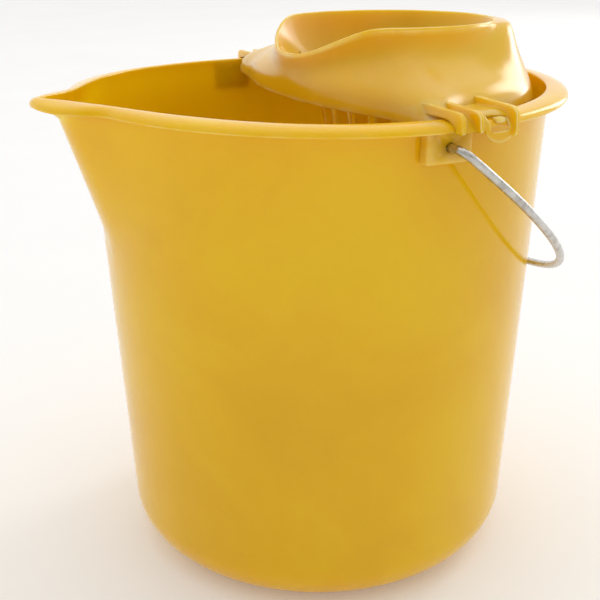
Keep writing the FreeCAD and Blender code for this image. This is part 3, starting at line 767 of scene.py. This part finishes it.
def galvanised_wire(name):
    """Drawn zinc-plated wire: bright, with lengthwise streaks and dull spots."""
    n = Nodes(name)
    spots = n.noise(160.0, 5.0, 0.6)
    colour = n.ramp(spots, (0.3, (0.36, 0.34, 0.31)), (0.55, (0.60, 0.585, 0.56)),
                    (0.78, (0.76, 0.75, 0.73)))
    rust = n.grey(n.noise(38.0, 6.0, 0.7), 0.66, 0.0, 0.74, 0.5)
    colour = n.mix(rust, colour, (0.26, 0.16, 0.08))
    n.link(colour, n.shader.inputs["Base Color"])
    n.link(n.grey(spots, 0.3, 0.22, 0.75, 0.42), n.shader.inputs["Roughness"])
    n.link(n.bump(n.noise(500.0, 4.0, 0.6), 0.12, 0.0002), n.shader.inputs["Normal"])
    n.shader.inputs["Metallic"].default_value = 1.0
    return n.material


def floor_paper(name, shade, glow):
    """Matt paper with faint clouds and a fine tooth."""
    n = Nodes(name)
    darker = tuple(0.97 * value for value in shade)
    n.link(n.ramp(n.noise(3.0, 4.0), (0.3, darker), (0.7, shade)), n.shader.inputs["Base Color"])
    n.link(n.bump(n.noise(300.0, 3.0), 0.03, 0.0005), n.shader.inputs["Normal"])
    n.shader.inputs["Roughness"].default_value = 0.65
    n.shader.inputs["Specular IOR Level"].default_value = 0.2
    n.shader.inputs["Emission Color"].default_value = (1.0, 1.0, 1.0, 1.0)
    n.shader.inputs["Emission Strength"].default_value = glow
    return n.material


# ---------------------------------------------------------------- object

# The last argument sets the strength of the highlight painted on convex edges.
bucket_plastic = moulded_plastic("bucket_plastic", (0.82, 0.425, 0.001), (0.89, 0.475, 0.002),
                                 (0.93, 0.54, 0.004), 0.11, 0.45)
wringer_plastic = moulded_plastic("wringer_plastic", (0.76, 0.40, 0.002), (0.83, 0.455, 0.004),
                                  (0.87, 0.52, 0.010), 0.20, 0.8)
wire = galvanised_wire("bail_wire")

new_object("bucket_shell", make_bowl, "bucket", "bucket_plastic", bucket_plastic, "bucket")
ears = new_object("bucket_ears", make_ears, "bucket", "bucket_plastic", bucket_plastic)
carve(ears, ear_tools)
new_object("bail_wire_bow", make_bail, "bail", "bail_wire", wire, "bail_handle")

hood = new_object("wringer_hood", make_hood, "wringer", "wringer_plastic", wringer_plastic, "wringer")
carve(hood, slot_tools)
clips = new_object("wringer_clips", make_clips, "wringer", "wringer_plastic", wringer_plastic)
carve(clips, window_tools)
new_object("wringer_tongues", make_tongues, "wringer", "wringer_plastic", wringer_plastic)


# ---------------------------------------------------------------- stage

# The camera: its turn, tilt and roll in degrees, its place in metres and its focal length.
VIEW_TURN, VIEW_TILT, VIEW_ROLL = 26.0, 20.847, -0.459226
CAMERA_PLACE = (-0.26587, -0.52044, 0.37133)
FOCAL_LENGTH = 58.196

FLOOR_REACH = 50.0

# Direction of the brightest part of the surroundings.
BRIGHT_SIDE = (0.41, 0.84, 0.45)


def add_area(name, place, aim, size, size_y, power, colour=(1.0, 1.0, 1.0)):
    light = bpy.data.lights.new(name, "AREA")
    light.shape = "RECTANGLE"
    light.size = size
    light.size_y = size_y
    light.energy = power
    light.color = colour
    item = bpy.data.objects.new(name, light)
    item.location = place
    item.rotation_euler = (Vector(aim) - Vector(place)).to_track_quat("-Z", "Y").to_euler()
    bpy.context.collection.objects.link(item)


def flat_sheet(name, outline, height, material):
    """A flat piece of the stage at a height in metres."""
    bm = bmesh.new()
    bm.faces.new([bm.verts.new((x, y, height)) for x, y in outline])
    bmesh.ops.triangulate(bm, faces=bm.faces)
    item = link_mesh(name, bm)
    item.data.materials.append(material)


def make_floor():
    """One plain pale floor that runs past the view on every side."""
    far = FLOOR_REACH
    flat_sheet("floor", [(-far, -far), (far, -far), (far, far), (-far, far)], 0.0,
               floor_paper("floor_paper", (0.80, 0.80, 0.795), 0.14))


def make_world():
    """Even pale surroundings, brighter behind the object and darker low in front of it."""
    world = bpy.data.worlds.new("studio")
    bpy.context.scene.world = world
    world.use_nodes = True
    nodes, links = world.node_tree.nodes, world.node_tree.links
    place = nodes.new("ShaderNodeTexCoord")
    facing = nodes.new("ShaderNodeVectorMath")
    facing.operation = "DOT_PRODUCT"
    facing.inputs[1].default_value = BRIGHT_SIDE
    links.new(place.outputs["Generated"], facing.inputs[0])
    halved = nodes.new("ShaderNodeMath")
    halved.operation = "MULTIPLY_ADD"
    halved.inputs[1].default_value = 0.5
    halved.inputs[2].default_value = 0.5
    links.new(facing.outputs["Value"], halved.inputs[0])
    ramp = nodes.new("ShaderNodeValToRGB")
    links.new(halved.outputs[0], ramp.inputs["Fac"])
    stops = ramp.color_ramp.elements
    stops[0].position = 0.12
    stops[0].color = (0.27, 0.255, 0.235, 1)
    stops[1].position = 0.68
    stops[1].color = (1.0, 0.995, 0.985, 1)
    background = nodes["Background"]
    links.new(ramp.outputs["Color"], background.inputs["Color"])
    background.inputs["Strength"].default_value = 1.1


def make_camera():
    turn, tilt, roll = math.radians(VIEW_TURN), math.radians(VIEW_TILT), math.radians(VIEW_ROLL)
    right = Vector((math.cos(turn), -math.sin(turn), 0.0))
    ahead = Vector((math.sin(turn) * math.cos(tilt), math.cos(turn) * math.cos(tilt), -math.sin(tilt)))
    up = right.cross(ahead)
    image_right = right * math.cos(roll) + up * math.sin(roll)
    image_up = up * math.cos(roll) - right * math.sin(roll)
    data = bpy.data.cameras.new("camera")
    data.lens = FOCAL_LENGTH
    data.sensor_width = 36.0
    data.clip_start = 0.02
    data.clip_end = 60.0
    item = bpy.data.objects.new("camera", data)
    rotation = Matrix((image_right, image_up, -ahead)).transposed().to_4x4()
    item.matrix_world = Matrix.Translation(CAMERA_PLACE) @ rotation
    bpy.context.collection.objects.link(item)
    bpy.context.scene.camera = item


make_camera()
make_world()
make_floor()
add_area("key", (-0.9, -1.9, 1.0), (0, 0, 0.15), 1.5, 1.2, 3.0, (1.0, 0.985, 0.96))
add_area("window", (3.7, 1.35, 1.5), (0.05, 0.0, 0.28), 1.1, 2.6, 42.0, (1.0, 0.99, 0.97))
add_area("top", (0.1, 0.5, 2.2), (0, 0, 0.1), 1.6, 1.6, 2.0)

bpy.context.scene.view_settings.view_transform = "Standard"
bpy.context.scene.view_settings.look = "None"
